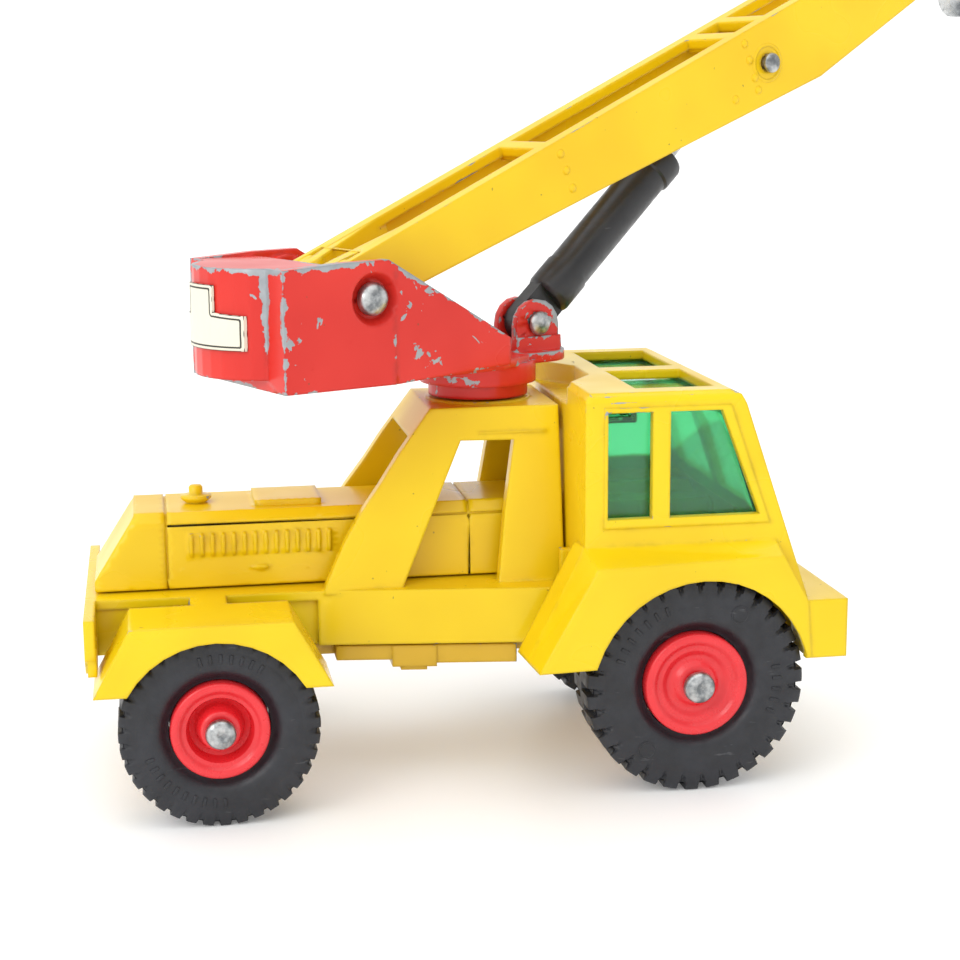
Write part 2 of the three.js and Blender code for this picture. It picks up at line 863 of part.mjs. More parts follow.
function ear(s) {
  const outline = [[4.4, 52.9], [11.2, 52.9], ...arc(RAM_FOOT.x, 56.9, 3.4, 0, 180, 8)];
  const base = [
    [3.9, 52.9],
    [11.4, 52.9],
    [11.2, 55.5],
    [4.4, 55.5],
  ];
  return join(
    side(outline, s < 0 ? -2.6 : 1.5, s < 0 ? -1.5 : 2.6),
    side(base, s < 0 ? -3.1 : 1.5, s < 0 ? -1.5 : 3.1),
  );
}

function superstructure() {
  const block = join(
    box(TAIL_X, SLOT_REAR_X, -BODY_HALF, BODY_HALF, BODY_BOTTOM_Z, BODY_TOP_Z),
    plan([...tailArc(TAIL_BULGE.r, TAIL_BULGE.half, 10), [-34, 7], [-34, -7]].reverse(), 53.9, BODY_TOP_Z),
  );
  const floor = plan(
    [
      [-28, -10.6],
      [-19.9, -10.6],
      [-2.2, -9.2],
      [4.0, -6.0],
      [4.0, 6.0],
      [-2.2, 9.2],
      [-19.9, 10.6],
      [-28, 10.6],
    ],
    BODY_BOTTOM_Z,
    53.7,
  );
  const tongue = plan([[-4, -5.2], ...arc(7.9, 0, 5.0, -90, 90, 10), [-4, 5.2]], 52.3, 53.6);
  const { ringR, flangeR, z0, z1 } = TURNTABLE;
  const turntable = turned(
    [
      [0, z0],
      [ringR, z0],
      [ringR, z1],
      [flangeR, z1],
      [flangeR, 52.9],
      [0, 52.9],
    ],
    32,
  );
  const body = join(block, bothSides(cheek), floor, tongue, turntable, bothSides(ear));
  const eyeRoom = rodY(4.2, -1.5, 1.5, RAM_FOOT.x, RAM_FOOT.z, 20);
  return cut(
    body,
    bothSides(pivotRecess),
    rodY(PIVOT.pinR + BORE_GAP, -14, 14, PIVOT.x, PIVOT.z),
    rodY(RAM_FOOT.pinR + BORE_GAP, -4, 4, RAM_FOOT.x, RAM_FOOT.z),
    eyeRoom,
    rodZ(SLEW_HOLE_R, 40, 56, 0, 0),
    rodZ(3.8, 54.2, 60, 0, 0),
  );
}

// Blank plate on the rounded tail: a stepped outline bent to the casting.
function labelPlate() {
  const ring = (r) => tailArc(r, 50, 12);
  const inner = ring(TAIL_BULGE.r + 0.12);
  const outer = ring(TAIL_BULGE.r + 0.42);
  const band = plan([...outer, ...inner.reverse()], 50, 70);
  const outline = [
    [-6.55, 57.4],
    [6.55, 57.4],
    [6.55, 61.5],
    [2.9, 61.8],
    [2.9, 65.0],
    [-2.9, 65.0],
    [-2.9, 61.8],
    [-6.55, 61.5],
  ];
  return band.intersect(end(outline, -42, -30));
}

// ---- Boom ----------------------------------------------------------------------------------
function boom() {
  const { s: tipS, h: tipH, r: tipR } = BOOM_TIP;
  const head = arc(tipS, tipH, tipR, -80, 90, 8);
  const root = arc(0, 0, 3.7, 95, 262, 8);
  const outline = [...root, ...BOOM_BOTTOM, ...head];
  const outer = side(outline, -BOOM_HALF, BOOM_HALF);
  const inner = side(
    [
      [-6, -12],
      [130, -12],
      [130, 6],
      [116.5, 6],
      [116.5, BOOM_TOP_H - BOOM_WEB],
      [5.0, BOOM_TOP_H - BOOM_WEB],
      [2.5, 6],
      [-6, 6],
    ],
    BOOM_WALL - BOOM_HALF,
    BOOM_HALF - BOOM_WALL,
  );
  const panelHalf = BOOM_HALF - BOOM_LIP;
  const panels = BOOM_PANELS.map(([s0, s1]) => box(s0, s1, -panelHalf, panelHalf, 0, 8));
  const rib = (s0) => side(
    [
      [s0, BOOM_TOP_H - 2.1],
      [s0 + 1.4, BOOM_TOP_H - 2.1],
      [s0 + 1.4, BOOM_TOP_H - 0.2],
      [s0, BOOM_TOP_H - 0.2],
    ],
    0.3 - BOOM_HALF,
    BOOM_HALF - 0.3,
  );
  const ribs = [33.6, 68.4, 74.4, 104.2].map(rib);
  const rootRib = (s) => {
    const strip = [
      [-1.5, s * 1.5],
      [1.0, s * 1.5],
      [13.5, s * 4.2],
      [13.5, s * 5.3],
      [9.5, s * 5.3],
      [-1.5, s * 2.9],
    ];
    return plan(s > 0 ? strip : strip.reverse(), -2.6, BOOM_TOP_H - 0.25);
  };
  const rootEnd = [
    [2.2, -3.2],
    [2.2, 3.6],
  ];
  const rootBlock = cut(side([...root, ...rootEnd], -BOOM_HALF, BOOM_HALF), box(-6, 8, -1.5, 1.5, -8, 8));
  const bossProfile = (s) => rodY(2.4, ...sideSpan(s, 4.3, BOOM_HALF - 0.1), RAM_HEAD.s, RAM_HEAD.h, 20);
  const shell = cut(outer, inner, ...panels);
  return cut(
    join(shell, rootBlock, ...ribs, bothSides(rootRib), bothSides(bossProfile)),
    rodY(PIVOT.pinR + BORE_GAP, -8, 8, 0, 0),
    rodY(RAM_HEAD.pinR + BORE_GAP, -8, 8, RAM_HEAD.s, RAM_HEAD.h),
    rodY(1.35, -8, 8, tipS, tipH),
  );
}

// ---- Ram, drawn along +X from its foot pin --------------------------------------------------
const ALONG_X = new THREE.Matrix4().makeRotationY(Math.PI / 2);
const turnedX = (profile, segments) => placed(turned(profile, segments), ALONG_X);

function ramCylinder() {
  const { bodyR, bodyStart, collarR, collarStart, bodyEnd, boreR } = RAM;
  const barrel = turnedX(
    [
      [0, bodyStart],
      [bodyR - 0.4, bodyStart],
      [bodyR, bodyStart + 0.5],
      [bodyR, collarStart],
      [collarR, collarStart],
      [collarR, bodyEnd],
      [0, bodyEnd],
    ],
    20,
  );
  const eyeOutline = [
    ...arc(0, 0, 2.7, 100, 260, 8),
    [3.0, -2.7],
    [bodyStart + 1, -2.7],
    [bodyStart + 1, 2.7],
    [3.0, 2.7],
  ];
  const eye = side(eyeOutline, -RAM_EYE_HALF, RAM_EYE_HALF);
  const bore = turnedX(
    [
      [0, bodyStart + 1.6],
      [boreR, bodyStart + 1.6],
      [boreR, bodyEnd + 1],
      [0, bodyEnd + 1],
    ],
    16,
  );
  return cut(join(barrel, eye), bore, rodY(RAM_FOOT.pinR + BORE_GAP, -4, 4, 0, 0));
}

// The rod in its own frame: its head eye sits at x = 0 and the rod runs back along -X.
function ramRod(length) {
  const rod = turnedX(
    [
      [0, -length],
      [RAM.rodR - 0.2, -length],
      [RAM.rodR, -length + 0.3],
      [RAM.rodR, -1.8],
      [0, -1.8],
    ],
    16,
  );
  const eye = rodY(RAM.eyeR, -1.3, 1.3, 0, 0, 20);
  return cut(join(rod, eye), rodY(RAM.eyeHoleR, -4, 4, 0, 0, 20));
}

// ---- Hook, drawn hanging from its pin -------------------------------------------------------
function hook() {
  const { eyeR, thick, shank, bowlR } = HOOK;
  const z = -shank - bowlR;
  const bowl = [
    ...arc(-0.3, z, bowlR, 62, -195, 12),
    ...arc(-0.3, z, bowlR - 1.9, -195, 40, 10),
    [-0.95, z + 3.0],
    [-0.95, -1],
    [0.95, -1],
  ];
  const blade = side(bowl.reverse(), -thick, thick);
  return cut(join(blade, rodY(eyeR, -thick, thick, 0, 0)), rodY(1.35, -4, 4, 0, 0));
}

// ---- Assembly ------------------------------------------------------------------------------
function node(parent, name, solid, material) {
  const mesh = new THREE.Mesh(toGeometry(solid), material);
  mesh.name = name;
  parent.add(mesh);
  return mesh;
}

const truck = new THREE.Group();
node(truck, "chassis", chassis(), MATERIALS.yellow);
node(truck, "cab_body", cabBody(), MATERIALS.yellow);
node(truck, "hood", hood(), MATERIALS.hood);
node(truck, "cab_glazing", glazing(), MATERIALS.glass);
node(truck, "baseplate", baseplate(), MATERIALS.yellow);
node(truck, "base_rivet_hood_end", baseRivet(-38, 22.6), MATERIALS.steel);
node(truck, "base_rivet_cab_end", baseRivet(37.6, 20.2), MATERIALS.steel);
node(truck, "turntable_rivet", turntableRivet(), MATERIALS.steel);
node(truck, "axle_hood_end", axle(HOOD_AXLE_X, SMALL_WHEEL), MATERIALS.steel);
node(truck, "axle_cab_end", axle(CAB_AXLE_X, LARGE_WHEEL), MATERIALS.steel);

const WHEELS = [
  ["hood_end_near", SMALL_WHEEL, HOOD_AXLE_X, -1],
  ["hood_end_far", SMALL_WHEEL, HOOD_AXLE_X, 1],
  ["cab_end_near", LARGE_WHEEL, CAB_AXLE_X, -1],
  ["cab_end_far", LARGE_WHEEL, CAB_AXLE_X, 1],
];
for (const [place, wheel, x, s] of WHEELS) {
  const hub = wheelSolid(hubProfile(wheel, wheel === SMALL_WHEEL), wheel, x, s, 20);
  const tyre = wheelSolid(tyreProfile(wheel), wheel, x, s, 32);
  node(truck, `hub_${place}`, hub, MATERIALS.hub);
  node(truck, `tyre_${place}`, tyre, MATERIALS.tyre);
}

// The upper works turn together about the slew axis.
const upperWorks = new THREE.Group();
upperWorks.position.set(SLEW_X, 0, 0);
upperWorks.rotation.z = THREE.MathUtils.degToRad(SLEW_REST_DEG);
truck.add(upperWorks);
node(upperWorks, "superstructure", superstructure(), MATERIALS.red);
node(upperWorks, "label_plate", labelPlate(), MATERIALS.label);
const pivotPin = headedPin(PIVOT.pinR, PIVOT.headR, 12.6, 10.9, PIVOT.x, PIVOT.z);
const footPin = headedPin(RAM_FOOT.pinR, RAM_FOOT.headR, 3.9, 2.9, RAM_FOOT.x, RAM_FOOT.z);
node(upperWorks, "boom_pivot_pin", pivotPin, MATERIALS.steel);
node(upperWorks, "ram_foot_pin", footPin, MATERIALS.steel);

const boomGroup = new THREE.Group();
boomGroup.position.set(PIVOT.x, 0, PIVOT.z);
boomGroup.rotation.y = -THREE.MathUtils.degToRad(BOOM_REST_DEG);
upperWorks.add(boomGroup);
node(boomGroup, "boom", boom(), MATERIALS.yellow);
const headPin = headedPin(RAM_HEAD.pinR, RAM_HEAD.headR, 7.5, 6.65, RAM_HEAD.s, RAM_HEAD.h);
node(boomGroup, "ram_head_pin", headPin, MATERIALS.steel);
node(boomGroup, "hook_pin", headedPin(1.0, 1.5, 7.2, 6.25, BOOM_TIP.s, BOOM_TIP.h), MATERIALS.steel);

// The ram lies on the line from its foot pin to its head pin.
const boomAngle = THREE.MathUtils.degToRad(BOOM_REST_DEG);
const onBoom = (s, h) => [
  PIVOT.x + s * Math.cos(boomAngle) - h * Math.sin(boomAngle),
  PIVOT.z + s * Math.sin(boomAngle) + h * Math.cos(boomAngle),
];
const [headX, headZ] = onBoom(RAM_HEAD.s, RAM_HEAD.h);
const ramLength = Math.hypot(headX - RAM_FOOT.x, headZ - RAM_FOOT.z);
const ramGroup = new THREE.Group();
ramGroup.position.set(RAM_FOOT.x, 0, RAM_FOOT.z);
ramGroup.rotation.y = -Math.atan2(headZ - RAM_FOOT.z, headX - RAM_FOOT.x);
upperWorks.add(ramGroup);
node(ramGroup, "ram_cylinder", ramCylinder(), MATERIALS.black);
const rod = node(ramGroup, "ram_rod", ramRod(34.5), MATERIALS.steel);
rod.position.x = ramLength;

const [hookX, hookZ] = onBoom(BOOM_TIP.s, BOOM_TIP.h);
const hookMesh = node(upperWorks, "hook", hook(), MATERIALS.steel);
hookMesh.position.set(hookX, 0, hookZ);

// The part's origin is under the middle of its rest-pose box, on the ground.
const part = new THREE.Group();
part.add(truck);
truck.scale.setScalar(DRAWING_TO_MM);
part.updateMatrixWorld(true);
const bounds = new THREE.Box3().setFromObject(part, true);
truck.position.set(-(bounds.min.x + bounds.max.x) / 2, -(bounds.min.y + bounds.max.y) / 2, -bounds.min.z);
part.updateMatrixWorld(true);

export default part;
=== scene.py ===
import json
import math

import bmesh
import bpy
from mathutils import Matrix, Vector, kdtree


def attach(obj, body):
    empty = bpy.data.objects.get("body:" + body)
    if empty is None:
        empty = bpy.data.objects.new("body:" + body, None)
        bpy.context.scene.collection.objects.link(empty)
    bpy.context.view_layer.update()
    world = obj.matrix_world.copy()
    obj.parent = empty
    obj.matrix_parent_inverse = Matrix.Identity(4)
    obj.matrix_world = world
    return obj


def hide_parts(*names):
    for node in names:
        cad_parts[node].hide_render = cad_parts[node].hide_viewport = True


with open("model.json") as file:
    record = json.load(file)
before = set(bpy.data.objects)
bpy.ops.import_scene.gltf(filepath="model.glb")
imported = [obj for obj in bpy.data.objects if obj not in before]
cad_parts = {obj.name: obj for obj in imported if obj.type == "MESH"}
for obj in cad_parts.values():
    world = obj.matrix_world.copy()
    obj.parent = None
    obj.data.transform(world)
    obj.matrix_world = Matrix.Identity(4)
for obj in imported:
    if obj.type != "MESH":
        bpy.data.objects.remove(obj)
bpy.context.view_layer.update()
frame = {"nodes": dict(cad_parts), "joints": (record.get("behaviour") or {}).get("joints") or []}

# Toy crane truck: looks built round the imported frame.
# Lengths below are in drawing units, in which the large tyre is 28 across; U turns one into metres.
U = 0.024 / 28
MM = 0.001
CAB_AXLE = Vector((29.65, 0.0, 14.0))
HOOD_AXLE = Vector((-29.65, 0.0, 12.1))
HOOK_ON_BOOM = (122.0, 0.6)


def joint(name):
    """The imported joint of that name."""
    return next(j for j in frame["joints"] if j["name"] == name)


# ---- Frames of the moving parts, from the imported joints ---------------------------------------
cab_axle_at = Vector(joint("spin_cab_end_near")["pos_m"])
ORIGIN = cab_axle_at - CAB_AXLE * U
luff_at = Vector(joint("boom_luff")["pos_m"])
foot_at = Vector(joint("ram_tilt")["pos_m"])
tip_at = Vector(joint("hook_swing")["pos_m"])
luff_axis = Vector(joint("boom_luff")["axis"])
ram_dir = Vector(joint("ram_extend")["axis"])
SLEW = math.atan2(luff_axis.x, -luff_axis.y)
boom_line = tip_at - luff_at
HOOK_ANGLE = math.atan2(HOOK_ON_BOOM[1], HOOK_ON_BOOM[0])
BOOM_ANGLE = math.atan2(boom_line.z, boom_line.xy.length) - HOOK_ANGLE
RAM_ANGLE = math.atan2(ram_dir.z, ram_dir.xy.length)


def place(origin, turn=0.0, raised=0.0):
    """Drawing units to the row frame: scaled, raised about Y, turned about Z, then moved."""
    turned = Matrix.Rotation(turn, 4, "Z") @ Matrix.Rotation(-raised, 4, "Y")
    return Matrix.Translation(origin) @ turned @ Matrix.Scale(U, 4)


TRUCK = place(ORIGIN)
BOOM = place(luff_at, SLEW, BOOM_ANGLE)
RAM = place(foot_at, SLEW, RAM_ANGLE)
HOOK = place(tip_at, SLEW)

# ---- Materials --------------------------------------------------------------------------------


def srgb(hex_color):
    """An sRGB hex colour as linear RGBA."""
    parts = [int(hex_color[i : i + 2], 16) / 255 for i in (1, 3, 5)]
    return [c / 12.92 if c <= 0.04045 else ((c + 0.055) / 1.055) ** 2.4 for c in parts] + [1.0]


class Nodes:
    """A material's node tree, with short calls for the nodes used here."""

    def __init__(self, name):
        self.material = bpy.data.materials.new(name)
        self.material.use_nodes = True
        self.tree = self.material.node_tree
        self.shader = self.tree.nodes["Principled BSDF"]
        self.coord = self.tree.nodes.new("ShaderNodeTexCoord").outputs["Object"]

    def new(self, kind, **inputs):
        node = self.tree.nodes.new(kind)
        for key, value in inputs.items():
            self.feed(node.inputs[key.replace("_", " ")], value)
        return node

    def feed(self, socket, value):
        if isinstance(value, bpy.types.NodeSocket):
            self.tree.links.new(value, socket)
        else:
            socket.default_value = value

    def noise(self, scale, detail=3.0, roughness=0.5, stretch=None, distortion=0.0):
        coord = self.coord
        if stretch:
            mapping = self.new("ShaderNodeMapping", Vector=self.coord)
            mapping.inputs["Scale"].default_value = stretch
            coord = mapping.outputs["Vector"]
        made = self.new("ShaderNodeTexNoise", Vector=coord, Scale=scale)
        made.inputs["Detail"].default_value = detail
        made.inputs["Roughness"].default_value = roughness
        made.inputs["Distortion"].default_value = distortion
        return made.outputs["Fac"]

    def math(self, operation, a, b=0.0, clamp=False):
        node = self.tree.nodes.new("ShaderNodeMath")
        node.operation = operation
        node.use_clamp = clamp
        self.feed(node.inputs[0], a)
        self.feed(node.inputs[1], b)
        return node.outputs[0]

    def span(self, value, low, high, to_low=0.0, to_high=1.0, smooth=True):
        node = self.tree.nodes.new("ShaderNodeMapRange")
        node.interpolation_type = "SMOOTHSTEP" if smooth else "LINEAR"
        self.feed(node.inputs["Value"], value)
        node.inputs["From Min"].default_value = low
        node.inputs["From Max"].default_value = high
        node.inputs["To Min"].default_value = to_low
        node.inputs["To Max"].default_value = to_high
        return node.outputs["Result"]

    def mix(self, factor, a, b):
        node = self.tree.nodes.new("ShaderNodeMix")
        node.data_type = "RGBA"
        self.feed(node.inputs["Factor"], factor)
        self.feed(node.inputs["A"], a)
        self.feed(node.inputs["B"], b)
        return node.outputs["Result"]

    def mix_value(self, factor, a, b):
        node = self.tree.nodes.new("ShaderNodeMix")
        node.data_type = "FLOAT"
        self.feed(node.inputs[0], factor)
        self.feed(node.inputs[2], a)
        self.feed(node.inputs[3], b)
        return node.outputs[0]

    def attribute(self, name):
        node = self.tree.nodes.new("ShaderNodeAttribute")
        node.attribute_name = name
        return node.outputs["Fac"]

    def rounded(self, radius):
        """The normal of corners rounded off as poured enamel rounds them."""
        node = self.tree.nodes.new("ShaderNodeBevel")
        node.samples = 6
        node.inputs["Radius"].default_value = radius
        return node.outputs["Normal"]

    def bump(self, height, strength, distance, normal=None):
        node = self.new("ShaderNodeBump", Height=height, Strength=strength, Distance=distance)
        if normal is not None:
            self.feed(node.inputs["Normal"], normal)
        return node.outputs["Normal"]

    def set(self, **values):
        for key, value in values.items():
            self.feed(self.shader.inputs[key.replace("_", " ")], value)
        return self.material


def enamel(name, color, shade, edge_reach, edge_level, spot_level, crease_shade_and_dirt=0.2, corner_mm=0.45):
    """Glossy stoved enamel over zinc. The mesh carries "edge" and "crease", the distances in
    millimetres to the nearest outside and inside corner. Paint is missing where noise beats them."""
    n = Nodes(name)
    broad = n.noise(70, 2.0)
    tint = n.mix(n.span(broad, 0.35, 0.7), color, shade)
    crease = n.attribute("crease")
    edge = n.attribute("edge")
    # Painted shade and dirt: near inside corners the colour darkens in patches towards a dull brown.
    near_crease = n.span(crease, 0.0, 0.7, crease_shade_and_dirt, 0.0)
    crease_darkening = n.math("MULTIPLY", near_crease, n.span(n.noise(500, 4.0), 0.42, 0.8))
    shaded_and_dirty = n.mix(crease_darkening, tint, srgb("#6E5A1E") if color[1] > 0.3 else srgb("#4A1410"))
    ragged = n.noise(520, 6.0, 0.62, distortion=0.4)
    along = n.noise(95, 3.0, 0.6)
    worn = n.math("ADD", n.math("MULTIPLY", ragged, 0.55), n.math("MULTIPLY", along, 0.75))
    near_edge = n.span(edge, 0.0, edge_reach, 0.34, 0.0, smooth=False)
    edge_chip = n.span(n.math("ADD", worn, near_edge), edge_level, edge_level + 0.015)
    drift = n.span(n.noise(60, 2.0), 0.3, 0.7, -0.06, 0.06)
    patches = n.math("ADD", n.noise(330, 4.0, 0.6, distortion=0.5), drift)
    spots = n.span(patches, spot_level, spot_level + 0.01)
    chip = n.math("MAXIMUM", edge_chip, spots)
    speck = n.span(n.noise(1500, 1.0), 0.79, 0.805)
    bare = n.mix(n.noise(900, 3.0), srgb("#8C9297"), srgb("#B4B9BC"))
    painted = n.mix(n.math("MULTIPLY", speck, 0.5), shaded_and_dirty, srgb("#5A4A2A"))
    peel = n.bump(n.noise(620, 2.0), 0.10, 0.00012, n.rounded(corner_mm * MM))
    step = n.bump(n.math("SUBTRACT", 1.0, chip), 0.6, 0.00007, peel)
    n.set(
        Base_Color=n.mix(chip, painted, bare),
        Roughness=n.mix_value(chip, n.span(broad, 0.3, 0.7, 0.25, 0.37), 0.5),
        Metallic=n.math("MULTIPLY", chip, 0.55),
        Normal=step,
    )
    n.shader.inputs["Specular IOR Level"].default_value = 0.32
    n.shader.inputs["Coat Weight"].default_value = 0.14
    n.shader.inputs["Coat Roughness"].default_value = 0.12
    return n.material


YELLOW = enamel("yellow_enamel", srgb("#E9C90E"), srgb("#E2BF09"), 0.24, 1.07, 0.80)
HOOD_YELLOW = enamel(
    "hood_enamel", srgb("#E6C40E"), srgb("#DEB808"), 0.2, 1.14, 0.80, corner_mm=0.3
)
BOOM_YELLOW = enamel("boom_enamel", srgb("#F0CA0E"), srgb("#EABF0A"), 0.4, 1.03, 0.80)
BASE_YELLOW = enamel("base_enamel", srgb("#D8B02C"), srgb("#C9A024"), 0.25, 1.05, 0.80)
RED = enamel("red_enamel", srgb("#D93227"), srgb("#CC281F"), 1.3, 0.935, 0.655, crease_shade_and_dirt=0.4)


def steel(name, color, rough, cloud):
    """Worn plated or bare steel with fine turning marks and cloudy roughness."""
    n = Nodes(name)
    cloudy = n.noise(cloud, 5.0, 0.6)
    fine = n.noise(1900, 3.0)
    tone = n.mix(n.span(cloudy, 0.35, 0.68), color, srgb("#6F7376"))
    return n.set(
        Base_Color=tone,
        Metallic=0.9,
        Roughness=n.span(fine, 0.3, 0.7, rough, rough + 0.2),
        Normal=n.bump(n.math("ADD", cloudy, n.math("MULTIPLY", fine, 0.4)), 0.35, 0.00012),
    )


STEEL = steel("pin_steel", srgb("#C4C6C6"), 0.28, 700)
ROD_STEEL = steel("rod_plating", srgb("#D6D6D2"), 0.16, 300)
HOOK_STEEL = steel("hook_plating", srgb("#C9CBCB"), 0.22, 400)


def plastic(name, color, shade, rough, bump, coat=0.0, scale=260, scuff=0.0):
    """Moulded plastic: slight colour drift, soft gloss, faint moulding texture and pale scuffs."""
    n = Nodes(name)
    drift = n.noise(scale, 3.0)
    scratches = n.span(n.noise(240, 4.0, 0.6, stretch=(1.0, 1.0, 5.0)), 0.66, 0.74)
    tone = n.mix(n.span(drift, 0.3, 0.72), color, shade)
    tone = n.mix(n.math("MULTIPLY", scratches, scuff), tone, srgb("#9A9C9E"))
    n.set(
        Base_Color=tone,
        Roughness=n.span(n.noise(900, 3.0), 0.3, 0.7, rough - 0.05, rough + 0.1),
        Normal=n.bump(n.noise(1500, 2.0), bump, 0.0001),
    )
    n.shader.inputs["Coat Weight"].default_value = coat
    return n.material


HUB_RED = plastic("hub_red", srgb("#E32C33"), srgb("#DA242C"), 0.28, 0.06, 0.15)
TYRE = plastic("tyre_black", srgb("#1C1D22"), srgb("#25272D"), 0.46, 0.5, 0.0, 300, 0.12)
BLACK = plastic("cylinder_black", srgb("#1E1E20"), srgb("#262628"), 0.34, 0.15, 0.0, 260, 0.16)


def glazing_material():
    n = Nodes("clear_green")
    n.set(
        Base_Color=n.mix(n.noise(60, 2.0), srgb("#8FF0C0"), srgb("#83E6B4")),
        Roughness=n.span(n.noise(700, 3.0), 0.35, 0.7, 0.03, 0.1),
        Normal=n.bump(n.noise(240, 2.0), 0.06, 0.0002),
    )
    n.shader.inputs["Transmission Weight"].default_value = 0.92
    n.shader.inputs["IOR"].default_value = 1.46
    return n.material


GLASS = glazing_material()


def label_material():
    """Cream printed plate with one dark line just inside its edge."""
    n = Nodes("label_print")
    edge = n.attribute("edge")
    line = n.math("MULTIPLY", n.span(edge, 0.26, 0.32), n.span(edge, 0.44, 0.5, 1.0, 0.0))
    rim = n.span(edge, 0.03, 0.07, 1.0, 0.0)
    ink = n.math("MAXIMUM", line, rim)
    cream = n.mix(n.noise(120, 4.0), srgb("#E6E2D0"), srgb("#DAD5BF"))
    return n.set(
        Base_Color=n.mix(ink, cream, srgb("#2A2620")),
        Roughness=n.span(n.noise(800, 3.0), 0.3, 0.7, 0.38, 0.5),
        Normal=n.bump(n.noise(900, 3.0), 0.15, 0.0001),
    )


LABEL = label_material()

# ---- Mesh helpers -----------------------------------------------------------------------------


def link_mesh(name, bm, material, smooth_angle=40):
    """A new object from a bmesh, smooth shaded up to an angle."""
    bmesh.ops.recalc_face_normals(bm, faces=bm.faces)
    mesh = bpy.data.meshes.new(name)
    bm.to_mesh(mesh)
    bm.free()
    mesh.polygons.foreach_set("use_smooth", [True] * len(mesh.polygons))
    mesh.set_sharp_from_angle(angle=math.radians(smooth_angle))
    obj = bpy.data.objects.new(name, mesh)
    bpy.context.scene.collection.objects.link(obj)
    mesh.materials.clear()
    mesh.materials.append(material)
    return obj


def adopt(obj, body, slot, *replaced):
    """The piece rides on a body and may stand for CAD nodes; slot is not used."""
    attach(obj, body)
    if replaced:
        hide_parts(*replaced)
    return obj


def revolve(bm, profile, matrix, segments=64, radius=None):
    """A turned surface about Z. radius(i, r, h) may vary the profile round the ring, and a profile
    end at r = 0 is a pole."""
    rings = []
    for r, h in profile:
        if r <= 1e-6:
            rings.append([bm.verts.new(matrix @ Vector((0, 0, h)))])
            continue
        ring = []
        for i in range(segments):
            a = math.tau * i / segments
            rr, hh = radius(i, r, h) if radius else (r, h)
            ring.append(bm.verts.new(matrix @ Vector((rr * math.cos(a), rr * math.sin(a), hh))))
        rings.append(ring)
    for low, high in zip(rings, rings[1:]):
        if len(low) == 1 and len(high) == 1:
            continue
        for i in range(segments):
            j = (i + 1) % segments
            if len(low) == 1:
                bm.faces.new((low[0], high[i], high[j]))
            elif len(high) == 1:
                bm.faces.new((low[i], low[j], high[0]))
            else:
                bm.faces.new((low[i], low[j], high[j], high[i]))
    return rings


def close_loop(bm, rings):
    """Joins the last ring of a turned body to its first."""
    first, last = rings[0], rings[-1]
    for i in range(len(first)):
        j = (i + 1) % len(first)
        bm.faces.new((last[i], last[j], first[j], first[i]))


def prism(points, y0, y1, matrix):
    """A solid from a side outline (x, z) run across from y0 to y1, as its own bmesh."""
    bm = bmesh.new()
    near = [bm.verts.new(matrix @ Vector((x, y0, z))) for x, z in points]
    far = [bm.verts.new(matrix @ Vector((x, y1, z))) for x, z in points]
    bm.faces.new(near)
    bm.faces.new(far[::-1])
    for i in range(len(points)):
        j = (i + 1) % len(points)
        bm.faces.new((near[i], far[i], far[j], near[j]))
    bmesh.ops.recalc_face_normals(bm, faces=bm.faces)
    return bm


def temp_object(bm):
    mesh = bpy.data.meshes.new("tool")
    bm.to_mesh(mesh)
    bm.free()
    obj = bpy.data.objects.new("tool", mesh)
    bpy.context.scene.collection.objects.link(obj)
    return obj


def with_tools(obj, tools):
    """Applies (operation, bmesh) pairs to an object's mesh as exact booleans."""
    helpers = []
    for operation, bm in tools:
        tool = temp_object(bm)
        helpers.append(tool)
        mod = obj.modifiers.new("b", "BOOLEAN")
        mod.operation = operation
        mod.solver = "EXACT"
        mod.object = tool
    evaluated = obj.evaluated_get(bpy.context.evaluated_depsgraph_get())
    mesh = bpy.data.meshes.new_from_object(evaluated)
    obj.modifiers.clear()
    old = obj.data
    obj.data = mesh
    bpy.data.meshes.remove(old)
    for tool in helpers:
        data = tool.data
        bpy.data.objects.remove(tool)
        bpy.data.meshes.remove(data)


SHARP = math.radians(22)
SHELTER_MM = 3.0
WELD = 0.002 * MM
PIN_WELD = 0.001 * MM


def corner_samples(bm):
    """Points along the outside and the inside corners of a mesh, as two search trees."""
    found = {True: [], False: []}
    for edge in bm.edges:
        if len(edge.link_faces) != 2 or edge.calc_face_angle(0) < SHARP:
            continue
        a, b = (v.co for v in edge.verts)
        steps = max(1, int((b - a).length / (0.25 * MM)))
        outside = edge.is_convex
        found[outside] += [a.lerp(b, i / steps) for i in range(steps + 1)]
    trees = []
    for outside in (True, False):
        tree = kdtree.KDTree(len(found[outside]) or 1)
        for i, point in enumerate(found[outside]):
            tree.insert(point, i)
        if not found[outside]:
            tree.insert(Vector((9, 9, 9)), 0)
        tree.balance()
        trees.append(tree)
    return trees


def refine(bm, longest):
    """Splits long edges until every triangle is small enough to carry the corner distances that drive
    wear, dirt and painted shade.
    """
    for _ in range(9):
        bmesh.ops.triangulate(bm, faces=[f for f in bm.faces if len(f.verts) > 3])
        long_edges = [e for e in bm.edges if e.calc_length() > longest]
        if not long_edges:
            break
        bmesh.ops.subdivide_edges(bm, edges=long_edges, cuts=1)
    bmesh.ops.triangulate(bm, faces=[f for f in bm.faces if len(f.verts) > 3])


